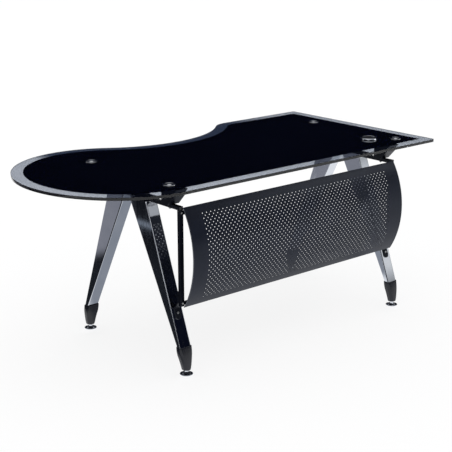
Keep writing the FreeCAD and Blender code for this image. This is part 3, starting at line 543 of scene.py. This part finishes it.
def perforated_panel():
    """The bowed sheet with its staggered round holes really punched through."""
    length, drop, at = panel_surface()
    fine_u = with_middles(grid_lines(length, PUNCH_COLUMNS, PUNCH_STEP, MARGIN_COLUMNS))
    fine_v = with_middles(grid_lines(drop, PUNCH_ROWS, PUNCH_STEP, MARGIN_ROWS))
    verts, faces, index = [], [], {}

    def corner(i, j, back):
        key = (i, j, back)
        if key not in index:
            index[key] = len(verts)
            verts.append(at(fine_u[i], fine_v[j], PANEL_THICK * back))
        return index[key]

    def add(face, back):
        faces.append(tuple(face) if back else tuple(reversed(face)))

    def whole_cell(i, j, back):
        ring = [corner(i + di, j + dj, back) for di, dj in AROUND]
        middle = corner(i, j, back)
        for k in range(1, len(AROUND), 2):
            add((middle, ring[k - 1], ring[k], ring[(k + 1) % len(AROUND)]), back)

    def punched_cell(i, j, back):
        ring = [corner(i + di, j + dj, back) for di, dj in AROUND]
        rim = range(len(verts), len(verts) + PUNCH_SIDES)
        for s in range(PUNCH_SIDES):
            angle = 2 * math.pi * s / PUNCH_SIDES
            verts.append(at(fine_u[i] + PUNCH_RADIUS * math.cos(angle),
                            fine_v[j] + PUNCH_RADIUS * math.sin(angle), PANEL_THICK * back))
        for k in range(len(AROUND)):
            a, b, c = rim[2 * k], rim[2 * k + 1], rim[(2 * k + 2) % PUNCH_SIDES]
            add((ring[k], b, a), back)
            add((ring[k], ring[(k + 1) % len(AROUND)], c, b), back)
        return rim

    for column in range(-MARGIN_COLUMNS, PUNCH_COLUMNS + MARGIN_COLUMNS):
        for row in range(-MARGIN_ROWS, PUNCH_ROWS + MARGIN_ROWS):
            i, j = 2 * (column + MARGIN_COLUMNS) + 1, 2 * (row + MARGIN_ROWS) + 1
            if 0 <= column < PUNCH_COLUMNS and 0 <= row < PUNCH_ROWS and (column + row) % 2 == 0:
                front, rear = punched_cell(i, j, 0), punched_cell(i, j, 1)
                for s in range(PUNCH_SIDES):
                    t = (s + 1) % PUNCH_SIDES
                    faces.append((front[s], front[t], rear[t], rear[s]))
            else:
                whole_cell(i, j, 0)
                whole_cell(i, j, 1)
    last_i, last_j = len(fine_u) - 1, len(fine_v) - 1
    for i in range(last_i):
        faces.append((corner(i, 0, 0), corner(i, 0, 1), corner(i + 1, 0, 1), corner(i + 1, 0, 0)))
        faces.append((corner(i, last_j, 0), corner(i + 1, last_j, 0),
                      corner(i + 1, last_j, 1), corner(i, last_j, 1)))
    for j in range(last_j):
        faces.append((corner(0, j, 0), corner(0, j + 1, 0), corner(0, j + 1, 1), corner(0, j, 1)))
        faces.append((corner(last_i, j, 0), corner(last_i, j, 1),
                      corner(last_i, j + 1, 1), corner(last_i, j + 1, 0)))
    piece = object_from("perforated_panel", verts, faces)
    place(piece, "desk", PANEL_PAINT, ["modesty_panel"])


def panel_edge_beads():
    """Folded hem along each bowed end of the sheet, painted lighter and glossier than the sheet as a painted
    highlight line.
    """
    length, drop, at = panel_surface()
    for name, along in (("left", EDGE_BEAD_RADIUS), ("right", length - EDGE_BEAD_RADIUS)):
        verts = []
        for k in range(EDGE_BEAD_STEPS + 1):
            down = drop * k / EDGE_BEAD_STEPS
            middle = at(along, down, PANEL_THICK / 2)
            out = (at(along, down, 0) - middle).normalized()
            for s in range(EDGE_BEAD_SIDES):
                angle = 2 * math.pi * s / EDGE_BEAD_SIDES
                turned = math.cos(angle) * out + math.sin(angle) * Vector((1, 0, 0))
                verts.append(middle + EDGE_BEAD_RADIUS * turned)
        faces = tube_faces(EDGE_BEAD_STEPS + 1, EDGE_BEAD_SIDES)
        faces.append(tuple(reversed(range(EDGE_BEAD_SIDES))))
        faces.append(tuple(EDGE_BEAD_STEPS * EDGE_BEAD_SIDES + s for s in range(EDGE_BEAD_SIDES)))
        piece = object_from("panel_edge_" + name, verts, faces)
        place(piece, "desk", BEAD_HIGHLIGHT_PAINT)


def polished_glass():
    """The glass with its edges ground round, copied from the CAD shape."""
    piece = linked("polished_glass", NODES["glass_top"].data.copy())
    work = bmesh.new()
    work.from_mesh(piece.data)
    bmesh.ops.remove_doubles(work, verts=work.verts, dist=GLASS_WELD)
    bmesh.ops.dissolve_limit(work, angle_limit=GLASS_FLAT_ANGLE, verts=work.verts, edges=work.edges)
    rims = [e for e in work.edges if len(e.link_faces) == 2 and e.calc_face_angle(0) > GLASS_RIM_ANGLE]
    bmesh.ops.bevel(work, geom=rims, offset=GLASS_ROUND, segments=3, profile=0.5, affect="EDGES",
                    clamp_overlap=True)
    work.to_mesh(piece.data)
    work.free()
    piece.data.attributes.remove(piece.data.attributes["custom_normal"])
    for face in piece.data.polygons:
        face.use_smooth = abs(face.normal.z) < GLASS_LEVEL_FACE
    place(piece, "desk", CLEAR_GLASS, ["glass_top"])


def bonded_print():
    """The black print, sunk a little into the glass so that it takes up the light inside it."""
    piece = linked("fired_print", NODES["black_print"].data.copy())
    low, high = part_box("black_print")
    for vertex in piece.data.vertices:
        if vertex.co.z < (low.z + high.z) / 2:
            vertex.co.z = low.z - PRINT_SINK
    place(piece, "desk", BLACK_PRINT, ["black_print"])
    piece.data.materials.append(BONDED_BLACK)
    for face in piece.data.polygons:
        face.material_index = 0 if face.normal.z > 0.5 else 1


def fixing_caps():
    """Spun chrome caps with a dished face, a raised button and a hexagon socket, on threaded studs."""
    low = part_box("fixing_caps")[0].z - CAP_SEAT
    stud = [(CENTRE_RADIUS, low), (STUD_RADIUS - THREAD_DEPTH, low)]
    turns = int(THREAD_LENGTH / THREAD_PITCH)
    for k in range(turns):
        stud.append((STUD_RADIUS, low + THREAD_PITCH * (k + 0.5)))
        stud.append((STUD_RADIUS - THREAD_DEPTH, low + THREAD_PITCH * (k + 1)))
    stud += [(STUD_RADIUS, low + THREAD_PITCH * (turns + 0.5)), (STUD_RADIUS, 0.0)]
    profile = stud + list(CAP_PROFILE) + [(CENTRE_RADIUS, SOCKET_FLOOR)]
    hexagon_from = len(stud) + len(CAP_PROFILE) - SOCKET_LOOPS
    for side in SIDES:
        for end in ENDS:
            verts, faces = lathe(profile, 0, 0, CAP_SEAT, CAP_SEGMENTS, hexagon_from)
            faces.append(tuple(range(CAP_SEGMENTS)))
            faces.append(tuple(len(verts) - CAP_SEGMENTS + s for s in range(CAP_SEGMENTS)))
            piece = object_from("fixing_cap_%s_%s" % (end, side), verts, faces)
            piece.location = (FIXING_X[side], FIXING_Y[end], 0)
            place(piece, "desk", SPUN_CHROME, ["fixing_caps"])


def grommet_ring():
    """Rolled chrome bezel and its barrel, closed into one ring."""
    verts, faces = lathe(GROMMET_PROFILE, *GROMMET_PLACE, DESK_TOP, GROMMET_SEGMENTS)
    last = len(verts) - GROMMET_SEGMENTS
    for s in range(GROMMET_SEGMENTS):
        t = (s + 1) % GROMMET_SEGMENTS
        faces.append((last + s, last + t, t, s))
    piece = object_from("grommet_bezel", verts, faces)
    place(piece, "desk", CHROME, ["grommet_ring"])


def octagon(width, depth, cut, x, y, z):
    w, d = width / 2, depth / 2
    corners = [(w, d - cut), (w - cut, d), (cut - w, d), (-w, d - cut),
               (-w, cut - d), (cut - w, -d), (w - cut, -d), (w, cut - d)]
    return [Vector((x + dx, y + dy, z)) for dx, dy in corners]


def foot_sleeve(side, end):
    """Faceted barrel with softened ridges and a lip round the leg."""
    way = 1 if end == "front" else -1
    foot_low, foot_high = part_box("glide_%s_%s" % (end, side))
    leg_low, leg_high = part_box("leg_%s_%s" % (end, side))
    x = (foot_low.x + foot_high.x) / 2
    y = (foot_low.y + foot_high.y) / 2
    work = bmesh.new()

    def band(lower, upper):
        for k in range(SLEEVE_CORNERS):
            m = (k + 1) % SLEEVE_CORNERS
            work.faces.new((lower[k], lower[m], upper[m], upper[k]))

    outlines = [octagon(width, depth, cut, x, y + way * shift, z)
                for width, depth, cut, shift, z in SLEEVE_LOOPS]
    well_width = leg_high.x - leg_low.x + LEG_GAP
    lip_y = y + way * SLEEVE_LOOPS[-1][3]
    outlines.append(octagon(well_width, LIP_DEPTH, LIP_CUT, x, lip_y, SLEEVE_LOOPS[-1][4] - LIP_DROP))
    outlines.append(octagon(well_width, WELL_DEPTH, LIP_CUT, x, lip_y, leg_low.z - LEG_GAP))
    loops = [[work.verts.new(corner) for corner in outline] for outline in outlines]
    for lower, upper in zip(loops, loops[1:]):
        band(lower, upper)
    work.faces.new(loops[-1])
    hole = []
    for k in range(SLEEVE_CORNERS):
        angle = 2 * math.pi * (k + 0.5) / SLEEVE_CORNERS
        corner = (x + INSERT_HOLE * math.cos(angle), y + INSERT_HOLE * math.sin(angle), SLEEVE_LOOPS[0][4])
        hole.append(work.verts.new(corner))
    roof = [work.verts.new((v.co.x, v.co.y, INSERT_TOP)) for v in hole]
    band(hole, loops[0])
    band(roof, hole)
    work.faces.new(list(reversed(roof)))
    bmesh.ops.recalc_face_normals(work, faces=work.faces)
    ridges = [e for e in work.edges if len(e.link_faces) == 2 and e.calc_face_angle(0) > SLEEVE_RIDGE_ANGLE]
    bmesh.ops.bevel(work, geom=ridges, offset=SLEEVE_ROUND, segments=2, profile=0.5, affect="EDGES",
                    clamp_overlap=True)
    mesh = bpy.data.meshes.new("sleeve_%s_%s" % (end, side))
    work.to_mesh(mesh)
    work.free()
    smooth_shading(mesh, SLEEVE_SHARP_ANGLE)
    piece = linked(mesh.name, mesh)
    place(piece, "desk", SLEEVE_PLASTIC, ["foot_sleeve_%s_%s" % (end, side)])


# --- studio --------------------------------------------------------------------------------------
def light_material(name):
    """An emission-only material for the studio's cards, with its node tree and its emission node."""
    material = bpy.data.materials.new(name)
    material.use_nodes = True
    tree = material.node_tree
    tree.nodes.clear()
    output = tree.nodes.new("ShaderNodeOutputMaterial")
    emission = tree.nodes.new("ShaderNodeEmission")
    tree.links.new(emission.outputs["Emission"], output.inputs["Surface"])
    return material, tree, emission


def card(name, centre, target, width, height, colour, strength):
    """A softbox with faded edges that only reflections see."""
    piece = object_from(name, rectangle(width / 2, height / 2), [(0, 1, 2, 3)], smooth=False)
    toward = (Vector(target) - Vector(centre)).normalized()
    piece.matrix_world = Matrix.Translation(centre) @ toward.to_track_quat("Z", "Y").to_matrix().to_4x4()
    material, tree, emission = light_material(name + "_light")
    emission.inputs["Color"].default_value = (*colour, 1)
    emission.inputs["Strength"].default_value = strength
    split = tree.nodes.new("ShaderNodeSeparateXYZ")
    tree.links.new(tree.nodes.new("ShaderNodeTexCoord").outputs["Object"], split.inputs["Vector"])
    shares = []
    for axis, half in (("X", width / 2), ("Y", height / 2)):
        away = tree.nodes.new("ShaderNodeMath")
        away.operation = "ABSOLUTE"
        tree.links.new(split.outputs[axis], away.inputs[0])
        shares.append(smooth_step(tree, away.outputs["Value"], half, half * (1 - SOFT_EDGE)))
    show_mix(tree, product(tree, shares), transparent(tree), emission.outputs["Emission"])
    paint(piece, material)
    only_reflected(piece)


def only_reflected(piece):
    piece.visible_camera = False
    piece.visible_diffuse = False
    piece.visible_transmission = False
    piece.visible_volume_scatter = False
    piece.visible_shadow = False


def floor():
    """Pale floor, just below the levelling feet at their longest, and clear when it is seen from below."""
    piece = object_from("floor", rectangle(FLOOR_HALF, FLOOR_HALF, FLOOR_LEVEL), [(0, 1, 2, 3)], smooth=False)
    material = bpy.data.materials.new("pale_floor")
    material.use_nodes = True
    tree = material.node_tree
    shader = tree.nodes["Principled BSDF"]
    shader.inputs["Base Color"].default_value = (0.22, 0.22, 0.222, 1)
    shader.inputs["Roughness"].default_value = 1.0
    shader.inputs["Specular IOR Level"].default_value = 0.0
    shader.inputs["Emission Color"].default_value = (1, 1, 1, 1)
    shader.inputs["Emission Strength"].default_value = 0.79
    backfacing = tree.nodes.new("ShaderNodeNewGeometry").outputs["Backfacing"]
    show_mix(tree, backfacing, shader.outputs["BSDF"], transparent(tree))
    paint(piece, material)


def reflected_floor():
    """What polished metal and the clear glass see of the floor, with a painted shadow under the desk."""
    corners = rectangle(CARD_HALF, CARD_HALF, FLOOR_LEVEL + CARD_LIFT)
    piece = object_from("floor_card", corners, [(0, 1, 2, 3)], smooth=False)
    material, tree, emission = light_material("floor_card_light")
    coordinates = tree.nodes.new("ShaderNodeTexCoord").outputs["Object"]
    split = tree.nodes.new("ShaderNodeSeparateXYZ")
    tree.links.new(coordinates, split.inputs["Vector"])
    slanted = tree.nodes.new("ShaderNodeVectorMath")
    slanted.operation = "DOT_PRODUCT"
    slanted.inputs[1].default_value = (CLOTH_SLOPE, 1.0, 0.0)
    tree.links.new(coordinates, slanted.inputs[0])
    directions = (split.outputs["X"], split.outputs["Y"], slanted.outputs["Value"])
    shade = CARD_SHADE
    for colour, *fades in CARD_AREAS:
        steps = [smooth_step(tree, value, *fade)
                 for value, pairs in zip(directions, fades) for fade in pairs]
        shade = mixed_colour(tree, product(tree, steps), shade, colour)
    tree.links.new(shade, emission.inputs["Color"])
    paint(piece, material)
    only_reflected(piece)
    piece.visible_transmission = True


def world():
    """Even white light on everything, while polished surfaces see a dim room that brightens overhead."""
    scene_world = bpy.data.worlds.new("studio")
    bpy.context.scene.world = scene_world
    scene_world.use_nodes = True
    scene_world.cycles.sampling_method = "NONE"
    tree = scene_world.node_tree
    tree.nodes.clear()
    tree.nodes.new("ShaderNodeOutputWorld")
    white = tree.nodes.new("ShaderNodeBackground")
    white.inputs["Color"].default_value = (1, 1, 1, 1)
    room = tree.nodes.new("ShaderNodeBackground")
    coordinates = tree.nodes.new("ShaderNodeTexCoord")
    split = tree.nodes.new("ShaderNodeSeparateXYZ")
    ramp = tree.nodes.new("ShaderNodeValToRGB")
    ramp.color_ramp.elements[0].position = 0.50
    ramp.color_ramp.elements[0].color = (0.003, 0.004, 0.010, 1)
    ramp.color_ramp.elements[1].position = 0.95
    ramp.color_ramp.elements[1].color = (0.55, 0.57, 0.60, 1)
    path = tree.nodes.new("ShaderNodeLightPath")
    tree.links.new(coordinates.outputs["Generated"], split.inputs["Vector"])
    tree.links.new(split.outputs["Z"], ramp.inputs["Fac"])
    tree.links.new(ramp.outputs["Color"], room.inputs["Color"])
    show_mix(tree, path.outputs["Is Glossy Ray"], white.outputs["Background"], room.outputs["Background"],
             "World Output")


def studio():
    floor()
    reflected_floor()
    world()
    card("key_right", (2.45, -1.95, 2.15), (0.5, -0.3, 0.6), 1.5, 1.1, (1.0, 1.0, 1.0), 2.6)
    card("low_right", (2.45, -2.25, 0.95), (0.5, -0.3, 0.5), 1.3, 1.1, (0.96, 0.98, 1.0), 0.75)
    card("low_middle", (1.05, -2.35, 1.38), (0.0, -0.3, 0.6), 1.1, 0.5, (0.92, 0.95, 1.0), 0.42)
    card("fill_camera", (-2.9, -2.9, 1.5), (0, 0, 0.5), 2.6, 1.3, (0.95, 0.97, 1.0), 0.9)
    card("overhead", (0, -0.3, 3.6), (0, 0, 0), 3.6, 2.6, (1.0, 1.0, 1.0), 0.8)
    card("rear_left", (-2.9, 2.4, 1.9), (0, 0, 0.5), 1.6, 1.6, (1.0, 1.0, 1.0), 0.8)


def camera():
    data = bpy.data.cameras.new("camera")
    data.lens = CAMERA_LENS
    data.sensor_width = 36.0
    data.clip_end = 200.0
    eye = linked("camera", data)
    back = CAMERA_RIGHT.cross(CAMERA_UP).normalized()
    turn = Matrix((CAMERA_RIGHT, CAMERA_UP, back)).transposed().to_4x4()
    eye.matrix_world = Matrix.Translation(CAMERA_PLACE) @ turn
    bpy.context.scene.camera = eye


bpy.context.scene.view_settings.view_transform = "Standard"
camera()
studio()
paint_cad_nodes()
polished_glass()
bonded_print()
fixing_caps()
grommet_ring()
perforated_panel()
panel_edge_beads()
for side in SIDES:
    for end in ENDS:
        foot_sleeve(side, end)
